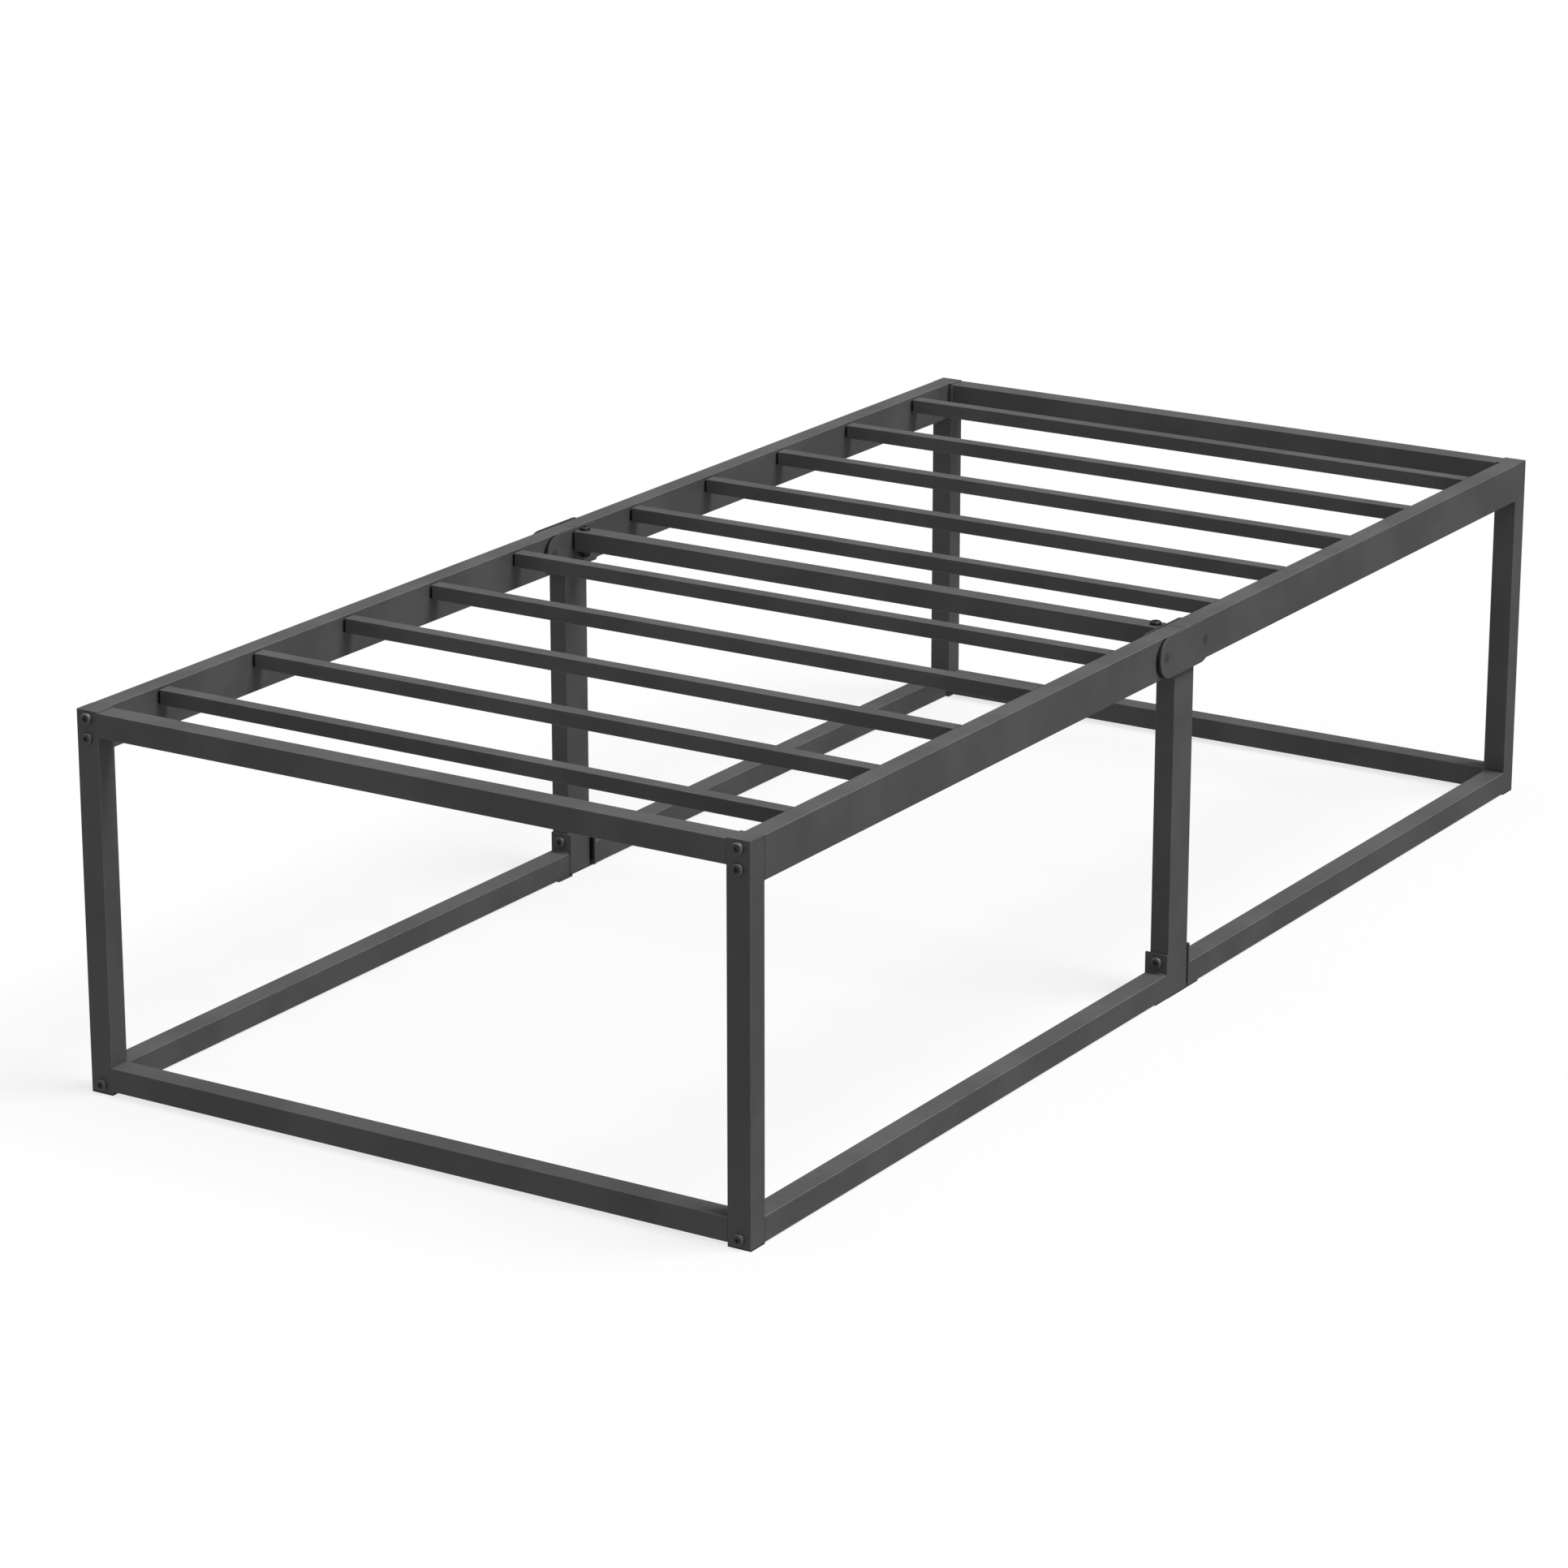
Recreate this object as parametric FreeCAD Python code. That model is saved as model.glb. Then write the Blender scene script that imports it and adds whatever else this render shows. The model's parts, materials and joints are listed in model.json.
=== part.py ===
import FreeCAD, Part
import math
import os

# Folding metal bed frame, in millimetres.
# +Z is up, +Y runs along the bed from the near end to the far end, X is the width.
# The origin is on the floor, under the middle of the frame.

V = FreeCAD.Vector

# Overall sizes
LENGTH = 1905.0
WIDTH = 894.0
HEIGHT = 457.0

# Corner posts, with a flush lid in the top and a glide underneath
POST_X = 30.0
POST_Y = 28.0
POST_WALL = 1.5
LID_T = 1.5
FOOT_T = 1.5
PLUG_DEPTH = 3.4
PLUG_WALL = 2.0
PLUG_FIT = 0.15

# Side rails carry the slats; the lower rails join the feet of the posts
SIDE_RAIL_X = 25.0
SIDE_RAIL_Z = 50.0
SIDE_RAIL_WALL = 1.5
LOWER_RAIL_X = 28.0
LOWER_RAIL_Z = 29.5
LOWER_RAIL_WALL = 1.5

# End rails are welded between the two posts of one end
END_RAIL_Y = 28.0
END_RAIL_Z = 29.0
END_RAIL_WALL = 1.5
END_RAIL_DROP = 1.0
END_RAIL_LIFT = 3.0

# Middle posts stand under the fold
MID_POST_X = 25.0
MID_POST_Y = 47.0
MID_POST_WALL = 1.5
SADDLE_T = 3.0
MID_POST_SHIFT = -1.0
SADDLE_END = -3.0
REST_START = -1.0
REST_END = 45.0

# Fold: two lined plates each side, a pivot in the near rail and a rivet in the far rail
HINGE_SPACING = 96.6
HINGE_SHIFT = -5.0
HINGE_DROP = 24.0
MEET_Y = -2.0
MEET_GAP = 0.8
PLATE_DROP = 25.0
PLATE_HALF_Z = 25.4
INNER_PLATE_HALF_Z = 24.5
PLATE_T = 1.5
PLATE_END = 15.0
LINER_T = 2.0
LINER_HALF_Z = 24.4
LINER_NEAR_END = 19.0
LINER_FAR_END = 14.0
RIVET_R = 6.0
SPACER_WALL = 3.0
FOLD_GAP = 0.35
RUN_FIT = 0.05

# Slats
SLAT_COUNT = 5
SLAT_PITCH = 175.0
SLAT_MARGIN = 122.0
SLAT_Y = 17.5
SLAT_Z = 18.5
SLAT_WALL = 1.2
SLAT_DROP = 2.0
CAP_T = 3.5
CAP_STEP = 2.5
CAP_PLUG = 18.0
PEG_R = 4.0

# Middle crossbar on its brackets
BAR_SHIFT = -1.5
BAR_Y = 25.0
BAR_Z = 24.0
BAR_DROP = 1.5
BAR_WALL = 1.5
BAR_CAP_PLUG = 2.5
BAR_BOLT_INSET = 10.65
BRACKET_T = 3.0
BRACKET_Y = 21.0
BRACKET_REACH = 24.0
BRACKET_LEG = 20.0

# Button-head bolts and the plates they screw into
BOLT_R = 4.0
HEAD_R = 7.0
HEAD_H = 4.4
SOCKET_AF = 5.0
SOCKET_DEPTH = 2.6
BOLT_HOLE_FIT = 0.3
NUT_PLATE_T = 4.0
NUT_PLATE_R = 0.8
UPPER_BOLT_DROP = 9.4
BOLT_STEP = 23.0
LOWER_BOLT_RISE = 9.5
NUT_T = 6.5
NUT_AF = 13.0

# End plates of the lower rails, and the ledge that carries the far lower rail
END_PLATE_T = 3.0
END_PLATE_RISE = 24.5
END_BOLT_INSET = 11.0
END_BOLT_RISE = 13.5
END_PLATE_X = 30.0
TAB_T = 1.2
TAB_REACH = 30.0
TAB_RISE = 6.0
FAR_LOWER_GAP = 4.0
PAD_INSET = 0.4
PAD_RISE = 7.0

EDGE_R = 1.0

# Derived positions
HALF_L = LENGTH / 2
HALF_W = WIDTH / 2
RAIL_TOP = HEIGHT
POST_TOP = HEIGHT - LID_T
RAIL_BOTTOM = RAIL_TOP - SIDE_RAIL_Z
LOWER_TOP = FOOT_T + LOWER_RAIL_Z
END_TOP = RAIL_TOP - END_RAIL_DROP
END_BOTTOM = FOOT_T + END_RAIL_LIFT
BOLT_X = HALF_W - POST_X / 2
RAIL_INNER_X = HALF_W - SIDE_RAIL_X
SIDE_PLATE_GAP = FOLD_GAP
PROUD = SIDE_PLATE_GAP + LINER_T + PLATE_T
PLATE_OUTER_X = HALF_W + PROUD
PLATE_INNER_X = RAIL_INNER_X - PROUD
MID_INNER_X = HALF_W - MID_POST_X
PIVOT_Y = HINGE_SHIFT - HINGE_SPACING / 2
RIVET_Y = HINGE_SHIFT + HINGE_SPACING / 2
PIVOT_Z = RAIL_TOP - HINGE_DROP
PLATE_Z = RAIL_TOP - PLATE_DROP
MEET_R = math.hypot(MEET_Y - PIVOT_Y, HINGE_DROP)
MID_TOP = RAIL_BOTTOM - SADDLE_T
MID_NEAR_Y = MID_POST_SHIFT - MID_POST_Y / 2
MID_FAR_Y = MID_POST_SHIFT + MID_POST_Y / 2
SLAT_TOP = RAIL_TOP - SLAT_DROP
BAR_TOP = RAIL_TOP - BAR_DROP
BAR_BOTTOM = BAR_TOP - BAR_Z
BAR_END_X = PLATE_INNER_X
BAR_BOLT_X = BAR_END_X - BAR_BOLT_INSET


def block(x, y, z):
    """Box between pairs of X, Y and Z limits, given in any order."""
    low = [min(pair) for pair in (x, y, z)]
    size = [abs(pair[1] - pair[0]) for pair in (x, y, z)]
    return Part.makeBox(size[0], size[1], size[2], V(low[0], low[1], low[2]))


def round_along(shape, axis, radius):
    """Round the straight edges of a box that run along one axis."""
    edges = []
    for edge in shape.Edges:
        run = edge.Vertexes[1].Point.sub(edge.Vertexes[0].Point)
        parts = (abs(run.x), abs(run.y), abs(run.z))
        if parts[axis] > sum(parts) - 1e-6:
            edges.append(edge)
    return shape.makeFillet(radius, edges)


def tube(x, y, z, axis, wall, radius=EDGE_R):
    """Open-ended rectangular tube running along one axis."""
    outer = round_along(block(x, y, z), axis, radius)
    limits = []
    for index, pair in enumerate((x, y, z)):
        low = min(pair)
        high = max(pair)
        if index == axis:
            limits.append((low - 1.0, high + 1.0))
        else:
            limits.append((low + wall, high - wall))
    inner = round_along(block(limits[0], limits[1], limits[2]), axis, max(radius - wall, 0.6))
    return outer.cut(inner)


def rod(x, y, z, radius, length, axis):
    """Cylinder that starts at a point and runs along a direction."""
    return Part.makeCylinder(radius, length, V(x, y, z), axis)


def plug(x, y, z, wall, flange, up):
    """Flange over the end of an upright tube, with a hollow plug inside it.

    x and y are the tube's outer limits, z is the tube's end, up is 1 or -1.
    """
    lid = round_along(block(x, y, (z, z + up * flange)), 2, EDGE_R)
    inset = wall + PLUG_FIT
    px = (min(x) + inset, max(x) - inset)
    py = (min(y) + inset, max(y) - inset)
    body = block(px, py, (z, z - up * PLUG_DEPTH))
    hx = (px[0] + PLUG_WALL, px[1] - PLUG_WALL)
    hy = (py[0] + PLUG_WALL, py[1] - PLUG_WALL)
    hollow = block(hx, hy, (z, z - up * (PLUG_DEPTH + 1.0)))
    return lid.fuse(body.cut(hollow)).removeSplitter()


def button_bolt(x, y, z, direction, length):
    """Button-head socket bolt: its head sits on a face, its shank runs along direction."""
    back = direction.negative()
    shank = Part.makeCylinder(BOLT_R, length, V(x, y, z), direction)
    head = Part.makeCylinder(HEAD_R, HEAD_H, V(x, y, z), back)
    rim = [edge for edge in head.Edges if isinstance(edge.Curve, Part.Circle)]
    top = max(rim, key=lambda edge: edge.Curve.Center.sub(V(x, y, z)).dot(back))
    head = head.makeFillet(HEAD_H * 0.6, [top])
    start = V(x, y, z).add(V(back).multiply(HEAD_H - SOCKET_DEPTH))
    socket = hexagon(start, back, SOCKET_AF, SOCKET_DEPTH + 1.0)
    return shank.fuse(head.cut(socket)).removeSplitter()


def hexagon(start, direction, across_flats, height):
    """Six-sided prism that stands on a point."""
    corner = across_flats / math.sqrt(3.0)
    side = V(1, 0, 0)
    if abs(direction.x) > 0.5:
        side = V(0, 1, 0)
    other = direction.cross(side)
    points = []
    for step in range(7):
        angle = math.radians(60.0 * step)
        offset = V(side).multiply(corner * math.cos(angle))
        offset = offset.add(V(other).multiply(corner * math.sin(angle)))
        points.append(start.add(offset))
    face = Part.Face(Part.makePolygon(points))
    return face.extrude(V(direction).multiply(height))


def end_y(end, depth):
    """Y at a depth inwards from one end of the frame; end is -1 near or 1 far."""
    return end * (HALF_L - depth)


def bolt_heights():
    """Heights of the two bolts that hold a side rail to its post."""
    first = RAIL_TOP - UPPER_BOLT_DROP
    return (first, first - BOLT_STEP)


def corner_post(side, end):
    """Corner post with the clearance holes of its three rail bolts."""
    x = (side * HALF_W, side * (HALF_W - POST_X))
    y = (end_y(end, 0.0), end_y(end, POST_Y))
    post = tube(x, y, (FOOT_T, POST_TOP), 2, POST_WALL)
    heights = list(bolt_heights())
    heights.append(FOOT_T + LOWER_BOLT_RISE)
    for height in heights:
        hole = rod(side * BOLT_X, end_y(end, -1.0), height, BOLT_R + BOLT_HOLE_FIT, POST_Y + 2.0, V(0, -end, 0))
        post = post.cut(hole)
    return post


def end_rail(end, top):
    """Rail welded between the posts of one end."""
    x = (-(HALF_W - POST_X), HALF_W - POST_X)
    y = (end_y(end, 0.0), end_y(end, END_RAIL_Y))
    return tube(x, y, (top - END_RAIL_Z, top), 0, END_RAIL_WALL)


def fold_disc(side, radius):
    """Round cutter about the pivot axis, wider than the side rail."""
    return rod(side * HALF_W - 60.0, PIVOT_Y, PIVOT_Z, radius, 120.0, V(1, 0, 0))


def slat_positions(end):
    """Centre lines of the slats in one half."""
    return [end_y(end, SLAT_MARGIN + index * SLAT_PITCH) for index in range(SLAT_COUNT)]


def side_rail(side, end):
    """Half of a side rail; the two halves meet on an arc about the pivot."""
    x = (side * HALF_W, side * RAIL_INNER_X)
    if end < 0:
        y = (end_y(end, POST_Y), PIVOT_Y + MEET_R + 2.0)
    else:
        y = (MEET_Y - 2.0, end_y(end, POST_Y))
    rail = tube(x, y, (RAIL_BOTTOM, RAIL_TOP), 1, SIDE_RAIL_WALL)
    if end < 0:
        beyond_x = (side * HALF_W - 60.0, side * HALF_W + 60.0)
        beyond = block(beyond_x, (PIVOT_Y, 80.0), (RAIL_BOTTOM - 5.0, HEIGHT + 5.0))
        rail = rail.cut(beyond.cut(fold_disc(side, MEET_R)))
        pin_y = PIVOT_Y
    else:
        rail = rail.cut(fold_disc(side, MEET_R + MEET_GAP))
        pin_y = RIVET_Y
    pin = rod(side * HALF_W - 60.0, pin_y, PIVOT_Z, RIVET_R, 120.0, V(1, 0, 0))
    rail = rail.cut(pin)
    for y_slat in slat_positions(end):
        peg = rod(side * (RAIL_INNER_X - 1.0), y_slat, SLAT_TOP - SLAT_Z / 2, PEG_R, 8.0, V(side, 0, 0))
        rail = rail.cut(peg)
    return rail


def lower_rail(side, end):
    """Rail between the foot of a corner post and the middle post."""
    x = (side * HALF_W, side * (HALF_W - LOWER_RAIL_X))
    inner_y = MID_NEAR_Y - END_PLATE_T
    if end > 0:
        inner_y = MID_FAR_Y + FAR_LOWER_GAP + END_PLATE_T
    y = (end_y(end, POST_Y), inner_y)
    return tube(x, y, (FOOT_T, LOWER_TOP), 1, LOWER_RAIL_WALL)


def nut_plate(x, y, z, holes):
    """Plate welded in a rail's end, with tapped holes along Y."""
    plate = round_along(block(x, y, z), 1, NUT_PLATE_R)
    for x_hole, z_hole in holes:
        plate = plate.cut(rod(x_hole, min(y) - 1.0, z_hole, BOLT_R, abs(y[1] - y[0]) + 2.0, V(0, 1, 0)))
    return plate


def nut_plates(end):
    """All four plates that take the rail bolts of one end."""
    solids = []
    y = (end_y(end, POST_Y), end_y(end, POST_Y + NUT_PLATE_T))
    for side in (-1, 1):
        x = (side * (HALF_W - SIDE_RAIL_WALL), side * (RAIL_INNER_X + SIDE_RAIL_WALL))
        z = (RAIL_BOTTOM + SIDE_RAIL_WALL, RAIL_TOP - SIDE_RAIL_WALL)
        holes = [(side * BOLT_X, height) for height in bolt_heights()]
        solids.append(nut_plate(x, y, z, holes))
        x = (side * (HALF_W - LOWER_RAIL_WALL), side * (HALF_W - LOWER_RAIL_X + LOWER_RAIL_WALL))
        z = (FOOT_T + LOWER_RAIL_WALL, LOWER_TOP - LOWER_RAIL_WALL)
        solids.append(nut_plate(x, y, z, [(side * BOLT_X, FOOT_T + LOWER_BOLT_RISE)]))
    return solids


def rail_bolts(end, heights):
    """Bolts through the corner posts into the rail ends."""
    solids = []
    length = POST_Y + NUT_PLATE_T + 3.0
    for side in (-1, 1):
        for height in heights:
            solids.append(button_bolt(side * BOLT_X, end_y(end, 0.0), height, V(0, -end, 0), length))
    return solids


def post_plugs(end, top):
    """Lids or glides for the two posts of one end."""
    solids = []
    for side in (-1, 1):
        x = (side * HALF_W, side * (HALF_W - POST_X))
        y = (end_y(end, 0.0), end_y(end, POST_Y))
        if top:
            solids.append(plug(x, y, POST_TOP, POST_WALL, LID_T, 1))
        else:
            solids.append(plug(x, y, FOOT_T, POST_WALL, FOOT_T, -1))
    return solids


def slat(y_slat):
    """One cross slat."""
    reach = RAIL_INNER_X - CAP_T
    y = (y_slat - SLAT_Y / 2, y_slat + SLAT_Y / 2)
    return tube((-reach, reach), y, (SLAT_TOP - SLAT_Z, SLAT_TOP), 0, SLAT_WALL, 1.2)


def slat_cap(side, y_slat):
    """Plastic end of a slat: a flange, a plug in the tube and a peg in the rail."""
    reach = RAIL_INNER_X - CAP_T
    y = (y_slat - SLAT_Y / 2, y_slat + SLAT_Y / 2)
    z = (SLAT_TOP - SLAT_Z, SLAT_TOP)
    low_z = (z[0] + SLAT_WALL, z[1] - CAP_STEP)
    flange = round_along(block((side * reach, side * RAIL_INNER_X), y, low_z), 0, SLAT_WALL)
    inset = SLAT_WALL + PLUG_FIT
    py = (y[0] + inset, y[1] - inset)
    pz = (z[0] + inset, z[1] - inset)
    body = block((side * reach, side * (reach - CAP_PLUG)), py, pz)
    hy = (py[0] + PLUG_WALL, py[1] - PLUG_WALL)
    hz = (pz[0] + PLUG_WALL, pz[1] - PLUG_WALL)
    hollow = block((side * reach, side * (reach - CAP_PLUG - 1.0)), hy, hz)
    peg = rod(side * RAIL_INNER_X, y_slat, SLAT_TOP - SLAT_Z / 2, PEG_R, 5.0, V(side, 0, 0))
    return flange.fuse(body.cut(hollow)).fuse(peg).removeSplitter()


def mid_post(side):
    """Middle post, with the hole of its lower rail bolt and of its bracket."""
    x = (side * HALF_W, side * MID_INNER_X)
    y = (MID_NEAR_Y, MID_FAR_Y)
    post = tube(x, y, (FOOT_T, MID_TOP), 2, MID_POST_WALL)
    hole = rod(side * mid_bolt_x(), MID_NEAR_Y - 1.0, mid_bolt_z(), BOLT_R, MID_POST_WALL + 2.0, V(0, 1, 0))
    return post.cut(hole)


def mid_bolt_x():
    """Distance from the middle plane to the bolt of a lower rail's end plate."""
    return MID_INNER_X + END_BOLT_INSET


def mid_bolt_z():
    """Height of the bolt of a lower rail's end plate."""
    return LOWER_TOP + END_BOLT_RISE


def saddle(side):
    """Plate on top of a middle post, welded to it and to the near side rail."""
    x = (side * HALF_W, side * MID_INNER_X)
    return block(x, (MID_NEAR_Y, SADDLE_END), (MID_TOP, RAIL_BOTTOM))


def rest_plate(side):
    """Plate under the hinge end of a far side rail, just clear of the middle post."""
    x = (side * HALF_W, side * RAIL_INNER_X)
    return block(x, (REST_START, REST_END), (MID_TOP + FOLD_GAP, RAIL_BOTTOM))


def lower_end_plate(side, end):
    """Upright plate on the inner end of a lower rail; the near one is bolted to the post."""
    x = (side * HALF_W, side * (HALF_W - END_PLATE_X))
    if end < 0:
        y = (MID_NEAR_Y, MID_NEAR_Y - END_PLATE_T)
        plate = block(x, y, (FOOT_T, LOWER_TOP + END_PLATE_RISE))
        shelf = block(x, (MID_NEAR_Y, MID_NEAR_Y - TAB_REACH), (FOOT_T - TAB_T, FOOT_T))
        plate = plate.fuse(shelf).removeSplitter()
        hole = rod(side * mid_bolt_x(), y[1] - 1.0, mid_bolt_z(), BOLT_R + BOLT_HOLE_FIT, END_PLATE_T + 2, V(0, 1, 0))
        return plate.cut(hole)
    start = MID_FAR_Y + FAR_LOWER_GAP
    plate = block(x, (start, start + END_PLATE_T), (FOOT_T, LOWER_TOP + END_PLATE_RISE))
    return round_along(plate, 1, EDGE_R)


def end_pad(side):
    """Black pad between a middle post and the upright plate of the far lower rail."""
    x = (side * (HALF_W - PAD_INSET), side * (HALF_W - END_PLATE_X))
    y = (MID_FAR_Y + FOLD_GAP, MID_FAR_Y + FAR_LOWER_GAP)
    z = (FOOT_T + PAD_RISE, LOWER_TOP + END_PLATE_RISE - PAD_INSET)
    return round_along(block(x, y, z), 1, EDGE_R)


def rest_tab(side):
    """Ledge on the middle post that lies under the far lower rail."""
    x = (side * HALF_W, side * (MID_INNER_X))
    foot = block(x, (MID_FAR_Y, MID_FAR_Y + TAB_REACH), (0.0, TAB_T))
    back = block(x, (MID_FAR_Y, MID_FAR_Y + TAB_T), (0.0, TAB_RISE))
    return foot.fuse(back).removeSplitter()


def hinge_blank(start, thick, half_z, near_end, far_end):
    """Long plate with round ends and both rivet holes, square to X.

    half_z is half its height, near_end and far_end are how far it runs past the rivets.
    """
    y_ends = (PIVOT_Y - near_end + half_z, RIVET_Y + far_end - half_z)
    blank = block((start, start + thick), y_ends, (PLATE_Z - half_z, PLATE_Z + half_z))
    for y_end in y_ends:
        blank = blank.fuse(rod(start, y_end, PLATE_Z, half_z, thick, V(1, 0, 0)))
    blank = blank.removeSplitter()
    blank = blank.cut(rod(start - 1.0, PIVOT_Y, PIVOT_Z, RIVET_R + RUN_FIT, thick + 2.0, V(1, 0, 0)))
    return blank.cut(rod(start - 1.0, RIVET_Y, PIVOT_Z, RIVET_R, thick + 2.0, V(1, 0, 0)))


def hinge_liner(side, inner):
    """Black sheet between a hinge plate and the side rails."""
    if inner:
        near_x = RAIL_INNER_X - SIDE_PLATE_GAP
        far_x = near_x - LINER_T
    else:
        near_x = HALF_W + SIDE_PLATE_GAP
        far_x = near_x + LINER_T
    start = min(side * near_x, side * far_x)
    return hinge_blank(start, LINER_T, LINER_HALF_Z, LINER_NEAR_END, LINER_FAR_END)


def hinge_plate(side, inner):
    """Steel plate with round ends on one face of the side rails."""
    if inner:
        start = min(side * PLATE_INNER_X, side * (PLATE_INNER_X + PLATE_T))
        return hinge_blank(start, PLATE_T, INNER_PLATE_HALF_Z, PLATE_END, PLATE_END)
    start = min(side * PLATE_OUTER_X, side * (PLATE_OUTER_X - PLATE_T))
    return hinge_blank(start, PLATE_T, PLATE_HALF_Z, PLATE_END, PLATE_END)


def rivet(side, y_rivet):
    """Flush rivet through both hinge plates and the rail between them."""
    start = min(side * PLATE_OUTER_X, side * PLATE_INNER_X)
    return rod(start, y_rivet, PIVOT_Z, RIVET_R, PLATE_OUTER_X - PLATE_INNER_X, V(1, 0, 0))


def spacer(side, y_rivet):
    """Sleeve round a rivet, between the two walls of the rail."""
    low = RAIL_INNER_X + SIDE_RAIL_WALL
    span = SIDE_RAIL_X - 2 * SIDE_RAIL_WALL
    start = min(side * low, side * (low + span))
    sleeve = rod(start, y_rivet, PIVOT_Z, RIVET_R + SPACER_WALL, span, V(1, 0, 0))
    return sleeve.cut(rod(start - 1.0, y_rivet, PIVOT_Z, RIVET_R, span + 2.0, V(1, 0, 0)))


def bar_span():
    """Y limits of the crossbar."""
    return (BAR_SHIFT - BAR_Y / 2, BAR_SHIFT + BAR_Y / 2)


def crossbar():
    """Thick tube across the middle of the frame, with a bolt hole at each end."""
    reach = BAR_END_X - CAP_T
    bar = tube((-reach, reach), bar_span(), (BAR_BOTTOM, BAR_TOP), 0, BAR_WALL)
    for side in (-1, 1):
        hole = rod(side * BAR_BOLT_X, BAR_SHIFT, BAR_BOTTOM - 1.0, BOLT_R + BOLT_HOLE_FIT, BAR_Z + 2.0, V(0, 0, 1))
        bar = bar.cut(hole)
    return bar


def bar_cap(side):
    """Plastic lid on one end of the crossbar."""
    reach = BAR_END_X - CAP_T
    y = bar_span()
    z = (BAR_BOTTOM, BAR_TOP)
    flange = round_along(block((side * reach, side * BAR_END_X), y, (z[0], z[1] - CAP_STEP)), 0, EDGE_R)
    inset = BAR_WALL + PLUG_FIT
    body_x = (side * reach, side * (reach - BAR_CAP_PLUG))
    body = block(body_x, (y[0] + inset, y[1] - inset), (z[0] + inset, z[1] - inset))
    return flange.fuse(body).removeSplitter()


def bar_bracket(side):
    """Angle bracket: one leg under the crossbar, the other down the inner hinge plate."""
    y = (BAR_SHIFT - BRACKET_Y / 2, BAR_SHIFT + BRACKET_Y / 2)
    shelf_x = (side * BAR_END_X, side * (BAR_END_X - BRACKET_REACH))
    shelf = block(shelf_x, y, (BAR_BOTTOM - BRACKET_T, BAR_BOTTOM))
    leg_x = (side * BAR_END_X, side * (BAR_END_X - BRACKET_T))
    leg = block(leg_x, y, (BAR_BOTTOM - BRACKET_LEG, BAR_BOTTOM))
    angle = shelf.fuse(leg).removeSplitter()
    hole = rod(side * BAR_BOLT_X, BAR_SHIFT, BAR_BOTTOM - BRACKET_T - 1.0, BOLT_R + BOLT_HOLE_FIT, BRACKET_T + 2.0, V(0, 0, 1))
    return angle.cut(hole)


def bar_nut(side):
    """Hexagon nut under the bracket."""
    top = BAR_BOTTOM - BRACKET_T
    nut = hexagon(V(side * BAR_BOLT_X, BAR_SHIFT, top - NUT_T), V(0, 0, 1), NUT_AF, NUT_T)
    return nut.cut(rod(side * BAR_BOLT_X, BAR_SHIFT, top - NUT_T - 1.0, BOLT_R, NUT_T + 2.0, V(0, 0, 1)))


def bar_bolt(side):
    """Bolt down through the crossbar and its bracket into the nut."""
    length = BAR_Z + BRACKET_T + NUT_T + 2.0
    return button_bolt(side * BAR_BOLT_X, BAR_SHIFT, BAR_TOP, V(0, 0, -1), length)


def mid_foot(side):
    """Glide under a middle post."""
    x = (side * HALF_W, side * MID_INNER_X)
    return plug(x, (MID_NEAR_Y, MID_FAR_Y), FOOT_T, MID_POST_WALL, FOOT_T, -1)


def save(name, solids):
    """Write one node."""
    if not isinstance(solids, list):
        solids = [solids]
    shape = solids[0]
    if len(solids) > 1:
        shape = Part.makeCompound(solids)
    shape.exportStep(os.path.join("parts", name + ".step"))


def both(build, *extra):
    """Make the left and the right one of a piece."""
    return [build(side, *extra) for side in (-1, 1)]


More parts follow.
